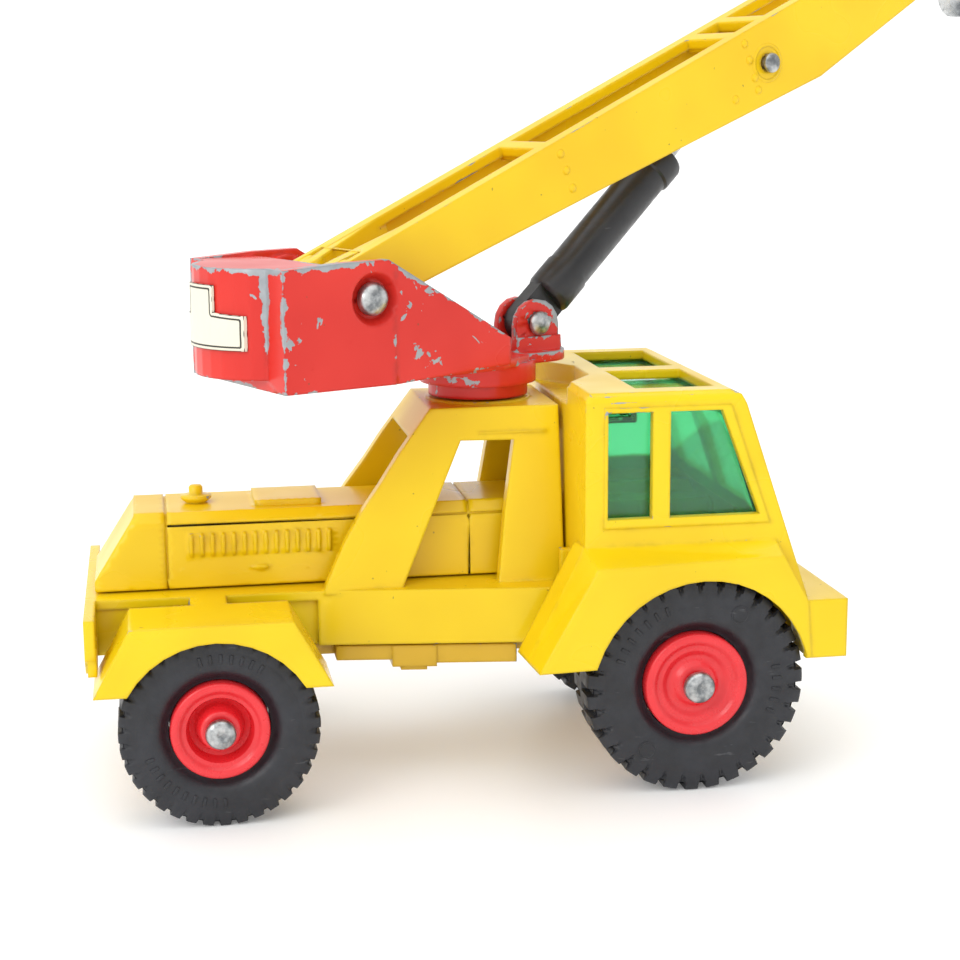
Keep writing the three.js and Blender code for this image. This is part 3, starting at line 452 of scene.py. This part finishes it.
def casting(node, name, body, slot, material, round_mm=0.2, longest_mm=1.0, sheltered=None):
    """A CAD solid with its corner distances, standing for that node: "edge" drives the worn edges,
    and "crease" drives the painted shade and dirt in inside corners. Its corners are bevelled only as
    far as the triangles beside them leave room. Points for which sheltered is true count as far from
    any edge, so their paint stays whole."""
    bm = bmesh.new()
    bm.from_mesh(frame["nodes"][node].data)
    bmesh.ops.remove_doubles(bm, verts=bm.verts, dist=WELD)
    bmesh.ops.recalc_face_normals(bm, faces=bm.faces)
    trees = corner_samples(bm)
    sharp = [e for e in bm.edges if len(e.link_faces) == 2 and e.calc_face_angle(0) > SHARP]
    if round_mm:
        bmesh.ops.bevel(
            bm,
            geom=sharp,
            offset=round_mm * MM,
            offset_type="OFFSET",
            segments=2,
            profile=0.5,
            affect="EDGES",
            clamp_overlap=True,
            miter_outer="ARC",
        )
    refine(bm, longest_mm * MM)
    made = link_mesh(name, bm, material, 35)
    for key, tree in zip(("edge", "crease"), trees):
        distances = [tree.find(v.co)[2] / MM for v in made.data.vertices]
        if sheltered and key == "edge":
            added = [SHELTER_MM * sheltered(v.co) for v in made.data.vertices]
            distances = [d + extra for d, extra in zip(distances, added)]
        made.data.attributes.new(key, "FLOAT", "POINT").data.foreach_set("value", distances)
    return adopt(made, body, slot, node)


# ---- Wheels -----------------------------------------------------------------------------------


def outward(matrix, side):
    """Turns local Z to point outwards along the frame's Y on the given side."""
    return matrix @ Matrix.Rotation(-side * math.pi / 2, 4, "X")


def along_y(centre, side):
    """A wheel's own frame: origin at its centre on the middle plane, local Z outwards."""
    return outward(TRUCK @ Matrix.Translation(centre), side)


def raised_bars(bm, matrix, r, height, degrees, size):
    """Plain raised bars round a tyre wall."""
    for angle in degrees:
        a = math.radians(angle)
        spot = Matrix.Translation((r * math.cos(a), r * math.sin(a), height))
        spot = spot @ Matrix.Rotation(a, 4, "Z")
        spot = matrix @ spot @ Matrix.Diagonal((*size, 1.0))
        bar = bmesh.ops.create_cube(bm, size=1.0, matrix=spot)
        edges = list({e for v in bar["verts"] for e in v.link_edges})
        bmesh.ops.bevel(bm, geom=edges, offset=0.05 * U, segments=1, affect="EDGES")


def ejector_mark(bm, matrix, r, height, degrees):
    """A round mark left by the mould's ejector pin."""
    a = math.radians(degrees)
    spot = matrix @ Matrix.Translation((r * math.cos(a), r * math.sin(a), height))
    revolve(bm, [(1.2, -0.1), (1.16, 0.05), (1.0, 0.07), (0.93, 0.0), (0.0, 0.0)], spot, 32)


NOTCH_STEPS = 4
PITCH_STEPS = 12


def tyre(name, centre, side, R, bead, face, width, lugs, depth, groove, bars, marks):
    """A treaded tyre: square lugs, offset from side to side, that run a little way down plain walls,
    and a deep valley round the hub."""
    segments = lugs * PITCH_STEPS
    inner = face - width
    crown = [(R, h) for h in (0.30, 0.40, 0.44, 0.56, 0.60, 0.70)]
    wall = [
        (bead, 0.16),
        (bead + 0.35, 0.15),
        (bead + 0.7, 0.105),
        (bead + 1.05, 0.055),
        (bead + 1.5, 0.02),
        (bead + 2.1, 0.002),
        (R * 0.80, 0.0),
        (R - 2.35, 0.004),
        (R - 2.1, 0.006),
        (R - 1.7, 0.010),
        (R - 1.25, 0.016),
        (R - 0.8, 0.024),
        (R - 0.35, 0.042),
        (R - 0.08, 0.062),
        (R, 0.09),
        (R, 0.2),
    ]
    low = [(r, inner + h * width) for r, h in wall]
    mid = [(r, inner + h * width) for r, h in crown]
    high = [(r, face - h * width) for r, h in reversed(wall)]

    def radius(i, r, h):
        outward_share = (h - inner) / width
        upper = outward_share > 0.5
        phase = (i + (PITCH_STEPS // 2 if upper else 0)) % PITCH_STEPS
        centre_rib = abs(outward_share - 0.5) < 0.065
        if phase >= NOTCH_STEPS or centre_rib or r < R - groove:
            return r, h
        reach = (r - (R - groove)) / groove
        flank = phase in (0, NOTCH_STEPS - 1)
        if flank and reach < 0.45:
            return r, h
        push = 0.24 * groove * math.sqrt(min(1.0, reach * 1.6)) * (1 if upper else -1)
        drop = depth * max(0.0, (reach - 0.55) / 0.45)
        return r - drop, h - (push if r < R - 0.01 else 0)

    bm = bmesh.new()
    frame_out = along_y(centre, side)
    rings = revolve(bm, low + mid + high, frame_out, segments, radius)
    close_loop(bm, rings)
    for start, end in bars:
        raised_bars(bm, frame_out, R * 0.745, face + 0.02, range(start, end, 8), (1.15, 0.4, 0.24))
    for degrees in marks:
        ejector_mark(bm, frame_out, R * 0.74, face, degrees)
    return link_mesh(name, bm, TYRE, 45)


def hub(name, centre, side, r, face, width, deep):
    """A moulded hub: stepped rings round a dished centre with the boss under the axle head."""
    inner = face - width
    if deep:
        dish = [
            (r, -0.5),
            (r - 0.05, -0.12),
            (r - 0.3, 0.05),
            (r - 0.75, 0.08),
            (r - 1.15, -0.05),
            (r - 1.3, -0.3),
            (r - 1.55, -0.36),
            (r - 1.9, -0.45),
            (r - 2.15, -1.0),
            (r - 2.35, -2.1),
            (3.05, -2.35),
            (2.85, -2.2),
            (2.55, -0.6),
            (2.35, -0.1),
            (2.05, 0.0),
        ]
    else:
        dish = [
            (r, -0.5),
            (r - 0.05, -0.12),
            (r - 0.25, 0.06),
            (r - 0.9, 0.1),
            (r - 1.2, 0.0),
            (r - 1.45, -0.35),
            (r - 1.75, -0.5),
            (r - 2.1, -0.42),
            (r - 2.4, -0.5),
            (r - 2.75, -0.85),
            (r - 3.3, -0.92),
            (2.75, -0.6),
            (2.5, -0.25),
            (2.2, -0.12),
        ]
    bore = 1.45
    profile = [(bore, inner + 0.3), (r, inner + 0.3)]
    profile += [(a, face + b) for a, b in dish]
    profile.append((bore, face - 0.05))
    bm = bmesh.new()
    rings = revolve(bm, profile, along_y(centre, side), 72)
    close_loop(bm, rings)
    return link_mesh(name, bm, HUB_RED, 50)


def axle(name, centre, head, face):
    bm = bmesh.new()
    for side in (-1, 1):
        crown = [
            (1.05, 0.0),
            (1.05, face + 0.62),
            (head * 0.93, face + 0.62),
            (head, face + 0.85),
            (head, face + 1.2),
            (head * 0.95, face + 1.5),
            (head * 0.82, face + 1.72),
            (head * 0.55, face + 1.86),
            (head * 0.34, face + 1.88),
            (head * 0.2, face + 1.74),
            (0.0, face + 1.7),
        ]
        revolve(bm, crown, along_y(centre, side), 40)
    bmesh.ops.remove_doubles(bm, verts=bm.verts, dist=PIN_WELD)
    return link_mesh(name, bm, STEEL, 50)


SMALL_BARS = ((56, 112), (200, 280))
LARGE_BARS = ((112, 168), (-22, 14))
WHEEL_WIDTH = 8.4
SIDES = (("near", -1), ("far", 1))


def wheel_pair(end, centre, hub_r, face, deep, **tread):
    """The near and the far wheel of one axle, each a tyre on its hub."""
    for side_name, side in SIDES:
        spot = f"{end}_{side_name}"
        rubber = tyre(f"tyre_{spot}_treaded", centre, side, face=face, width=WHEEL_WIDTH, **tread)
        adopt(rubber, f"wheel_{spot}", "tyre_rubber", f"tyre_{spot}")
        disc = hub(f"hub_{spot}_dished", centre, side, hub_r, face, WHEEL_WIDTH, deep)
        adopt(disc, f"wheel_{spot}", "hub_red", f"hub_{spot}")


wheel_pair(
    "hood_end",
    HOOD_AXLE,
    hub_r=6.0,
    face=24.0,
    deep=True,
    R=12.1,
    bead=6.15,
    lugs=36,
    depth=0.5,
    groove=1.5,
    bars=SMALL_BARS,
    marks=(),
)
wheel_pair(
    "cab_end",
    CAB_AXLE,
    hub_r=6.6,
    face=23.0,
    deep=False,
    R=14.0,
    bead=6.75,
    lugs=31,
    depth=0.8,
    groove=2.2,
    bars=LARGE_BARS,
    marks=(58, 232),
)
adopt(axle("axle_hood_end_headed", HOOD_AXLE, 1.85, 24.0), "truck", "pin_steel", "axle_hood_end")
adopt(axle("axle_cab_end_headed", CAB_AXLE, 2.0, 23.0), "truck", "pin_steel", "axle_cab_end")

# ---- Castings ---------------------------------------------------------------------------------
casting("chassis", "chassis_casting", "truck", "yellow_casting", YELLOW)
casting("cab_body", "cab_casting", "truck", "yellow_casting", YELLOW)
casting("hood", "hood_casting", "truck", "hood_enamel", HOOD_YELLOW, round_mm=0.0)
casting("baseplate", "baseplate_casting", "truck", "yellow_casting", BASE_YELLOW, longest_mm=2.0)


def out_of_reach(point):
    """Places on the red casting that knocks miss: the sunk ring round the pivot and the turntable."""
    across = (point - luff_at).cross(luff_axis).length
    return across < 4.6 * U or point.z < ORIGIN.z + 52.4 * U


casting(
    "superstructure",
    "superstructure_casting",
    "upper_works",
    "red_casting",
    RED,
    longest_mm=0.7,
    sheltered=out_of_reach,
)
casting("boom", "boom_casting", "boom_assembly", "yellow_boom", BOOM_YELLOW, round_mm=0.14)
casting(
    "label_plate",
    "label_printed",
    "upper_works",
    "label_cream",
    LABEL,
    round_mm=0.0,
    longest_mm=0.35,
)
casting("hook", "hook_forged", "load_hook", "hook_plated", HOOK_STEEL, round_mm=0.3)
casting(
    "cab_glazing",
    "cab_glazing_clear",
    "truck",
    "clear_green",
    GLASS,
    round_mm=0.15,
    longest_mm=3.0,
)

# ---- Pins, rivets and the ram -----------------------------------------------------------------


def dome(head, start, top):
    """A pin head's outline from its underside at height start to its crown at height top."""
    steps = [i * math.pi / 20 for i in range(10)]
    rim = start + 0.22 * (top - start)
    crown = [(head * math.cos(a), rim + (top - rim) * math.sin(a)) for a in steps]
    return [(head * 0.94, start), (head, start + 0.08), *crown, (0.0, top)]


def cross_pin(node, name, body, matrix, shank, head, half, head_start):
    """A pin across the frame's Y with a low dome on each end."""
    bm = bmesh.new()
    profile = [(shank, 0.0), (shank, head_start), *dome(head, head_start, half)]
    for side in (-1, 1):
        revolve(bm, profile, outward(matrix, side), 48)
    bmesh.ops.remove_doubles(bm, verts=bm.verts, dist=PIN_WELD)
    adopt(link_mesh(name, bm, STEEL, 50), body, "pin_steel", node)


RAM_HEAD_AT = Matrix.Translation((72.5, 0.0, -1.7))
PINS = (
    ("boom_pivot_pin", "upper_works", place(luff_at, SLEW), 1.2, 2.0, 12.6, 10.9),
    ("ram_foot_pin", "upper_works", place(foot_at, SLEW), 1.0, 1.55, 3.9, 2.9),
    ("ram_head_pin", "boom_assembly", BOOM @ RAM_HEAD_AT, 0.9, 1.35, 7.5, 6.65),
    ("hook_pin", "boom_assembly", HOOK, 1.0, 1.5, 7.2, 6.25),
)
for node_name, body, matrix, shank, head, half, head_start in PINS:
    cross_pin(node_name, f"{node_name}_domed", body, matrix, shank, head, half, head_start)
for node_name, body in (
    ("base_rivet_hood_end", "truck"),
    ("base_rivet_cab_end", "truck"),
    ("turntable_rivet", "upper_works"),
):
    casting(node_name, f"{node_name}_domed", body, "pin_steel", STEEL, round_mm=0.0, longest_mm=2.0)

RAM_TURN = RAM @ Matrix.Rotation(math.pi / 2, 4, "Y")
RAM_BARREL = (
    (0.0, 4.4),
    (2.5, 4.4),
    (2.95, 4.75),
    (3.1, 5.2),
    (3.1, 9.0),
    (2.92, 9.35),
    (2.92, 27.5),
    (3.2, 27.8),
    (3.25, 28.2),
    (3.25, 30.6),
    (3.05, 31.0),
    (1.75, 31.0),
    (1.75, 8.0),
    (0.0, 8.0),
)
FOOT_EYE_R = 2.7
FOOT_EYE_HALF = 1.15


def ram_barrel():
    """Turned barrel with a sleeve at its foot and a collar at its mouth, on a flat drilled eye."""
    bm = bmesh.new()
    revolve(bm, RAM_BARREL, RAM_TURN, 64)
    obj = link_mesh("ram_barrel", bm, BLACK, 40)
    ring = [math.radians(100 + 160 * i / 20) for i in range(21)]
    outline = [(FOOT_EYE_R * math.cos(a), FOOT_EYE_R * math.sin(a)) for a in ring]
    outline += [(5.4, -2.6), (5.4, 2.6)]
    hole = bmesh.new()
    revolve(hole, [(0.0, -2.0), (1.3, -2.0), (1.3, 2.0), (0.0, 2.0)], outward(RAM, 1), 32)
    bmesh.ops.recalc_face_normals(hole, faces=hole.faces)
    eye = prism(outline, -FOOT_EYE_HALF, FOOT_EYE_HALF, RAM)
    with_tools(obj, [("UNION", eye), ("DIFFERENCE", hole)])
    obj.data.materials.clear()
    obj.data.materials.append(BLACK)
    obj.data.polygons.foreach_set("use_smooth", [True] * len(obj.data.polygons))
    obj.data.set_sharp_from_angle(angle=math.radians(35))
    adopt(obj, "ram_tube", "cylinder_black", "ram_cylinder")


ram_barrel()
casting(
    "ram_rod",
    "ram_rod_plated",
    "ram_piston",
    "rod_plated",
    ROD_STEEL,
    round_mm=0.1,
    longest_mm=2.0,
)

# ---- Cast details on the boom -----------------------------------------------------------------
BOOM_HALF = 5.95
RIVETS = (
    (35.5, 2.0),
    (35.5, -0.3),
    (35.5, -2.8),
    (69.6, 2.3),
    (69.6, 0.0),
    (69.6, -2.6),
    (69.6, -4.4),
    (65.3, -3.9),
)


def boom_details():
    """Cast rivet heads and a low ring round the ram's head pin, on both walls."""
    bm = bmesh.new()
    for side in (-1, 1):
        for s, h in RIVETS:
            at = outward(BOOM @ Matrix.Translation((s, side * (BOOM_HALF - 0.06), h)), side)
            cap = [(0.62, 0.0), (0.58, 0.1), (0.42, 0.22), (0.22, 0.29), (0.0, 0.3)]
            revolve(bm, [(0.0, -0.1), (0.62, -0.1)] + cap, at, 20)
        at = BOOM @ RAM_HEAD_AT @ Matrix.Translation((0, side * (BOOM_HALF - 0.05), 0))
        bead = [(2.1, -0.1), (2.15, 0.1), (2.4, 0.16), (2.65, 0.1), (2.75, -0.1)]
        rings = revolve(bm, bead, outward(at, side), 48)
        close_loop(bm, rings)
    made = link_mesh("boom_cast_details", bm, BOOM_YELLOW, 50)
    for key in ("edge", "crease"):
        layer = made.data.attributes.new(key, "FLOAT", "POINT")
        layer.data.foreach_set("value", [2.0] * len(made.data.vertices))
    adopt(made, "boom_assembly", "yellow_boom")


boom_details()

# ---- Floor, light and camera ------------------------------------------------------------------


def floor():
    bm = bmesh.new()
    bmesh.ops.create_grid(bm, x_segments=2, y_segments=2, size=6.0)
    n = Nodes("studio_floor")
    n.set(
        Base_Color=n.mix(n.noise(3, 2.0), srgb("#F7F7F6"), srgb("#F3F3F2")),
        Roughness=n.span(n.noise(20, 2.0), 0.3, 0.7, 0.32, 0.4),
    )
    n.shader.inputs["Specular IOR Level"].default_value = 0.35
    n.shader.inputs["Emission Color"].default_value = (1.0, 1.0, 1.0, 1.0)
    n.shader.inputs["Emission Strength"].default_value = 0.1
    obj = link_mesh("studio_floor", bm, n.material)
    obj.location.z = -0.02 * MM


floor()


def studio_world():
    """White all round at eye level, so floor and background meet unseen, and dimmer overhead."""
    world = bpy.data.worlds.new("studio")
    bpy.context.scene.world = world
    world.use_nodes = True
    tree = world.node_tree
    back = tree.nodes["Background"]
    coord = tree.nodes.new("ShaderNodeTexCoord")
    axis = tree.nodes.new("ShaderNodeSeparateXYZ")
    ramp = tree.nodes.new("ShaderNodeMapRange")
    ramp.inputs["From Min"].default_value = 0.12
    ramp.inputs["From Max"].default_value = 0.6
    ramp.inputs["To Min"].default_value = 1.02
    ramp.inputs["To Max"].default_value = 0.55
    tree.links.new(coord.outputs["Generated"], axis.inputs["Vector"])
    tree.links.new(axis.outputs["Z"], ramp.inputs["Value"])
    tree.links.new(ramp.outputs["Result"], back.inputs["Strength"])
    back.inputs["Color"].default_value = (1.0, 1.0, 1.0, 1.0)


studio_world()


def softbox(name, location, target, size, energy):
    data = bpy.data.lights.new(name, "AREA")
    data.shape = "RECTANGLE"
    data.size, data.size_y = size
    data.energy = energy
    lamp = bpy.data.objects.new(name, data)
    lamp.location = location
    lamp.rotation_euler = (Vector(target) - Vector(location)).to_track_quat("-Z", "Y").to_euler()
    bpy.context.scene.collection.objects.link(lamp)


def sun(name, direction, strength, angle):
    data = bpy.data.lights.new(name, "SUN")
    data.energy = strength
    data.angle = math.radians(angle)
    lamp = bpy.data.objects.new(name, data)
    lamp.rotation_euler = Vector(direction).to_track_quat("-Z", "Y").to_euler()
    bpy.context.scene.collection.objects.link(lamp)


sun("overhead_diffused", (0.3, 0.1, -1.0), 1.5, 100)
softbox("left_front", (-0.42, -0.38, 0.32), (0.0, 0.0, 0.04), (0.3, 0.3), 0.7)

CAMERA_AT = Vector((-36.555, -244.44, 86.27))
CAMERA_AZIMUTH = math.radians(9.94)
CAMERA_DOWN = math.radians(11.31)
CAMERA_ROLL = math.radians(-0.40)
LENS_MM = 71.65


def camera():
    data = bpy.data.cameras.new("camera")
    data.sensor_width = 36.0
    data.lens = LENS_MM
    data.clip_start, data.clip_end = 0.01, 50.0
    forward = Vector(
        (
            math.sin(CAMERA_AZIMUTH) * math.cos(CAMERA_DOWN),
            math.cos(CAMERA_AZIMUTH) * math.cos(CAMERA_DOWN),
            -math.sin(CAMERA_DOWN),
        )
    )
    level_right = Vector((math.cos(CAMERA_AZIMUTH), -math.sin(CAMERA_AZIMUTH), 0.0))
    level_up = level_right.cross(forward)
    right = level_right * math.cos(CAMERA_ROLL) + level_up * math.sin(CAMERA_ROLL)
    up = right.cross(forward)
    turn = Matrix((right, up, -forward)).transposed()
    cam = bpy.data.objects.new("camera", data)
    cam.matrix_world = Matrix.Translation(ORIGIN + CAMERA_AT * U) @ turn.to_4x4()
    bpy.context.scene.collection.objects.link(cam)
    bpy.context.scene.camera = cam


camera()
bpy.context.scene.view_settings.view_transform = "Standard"
bpy.context.scene.view_settings.exposure = 0.26

bpy.context.view_layer.update()
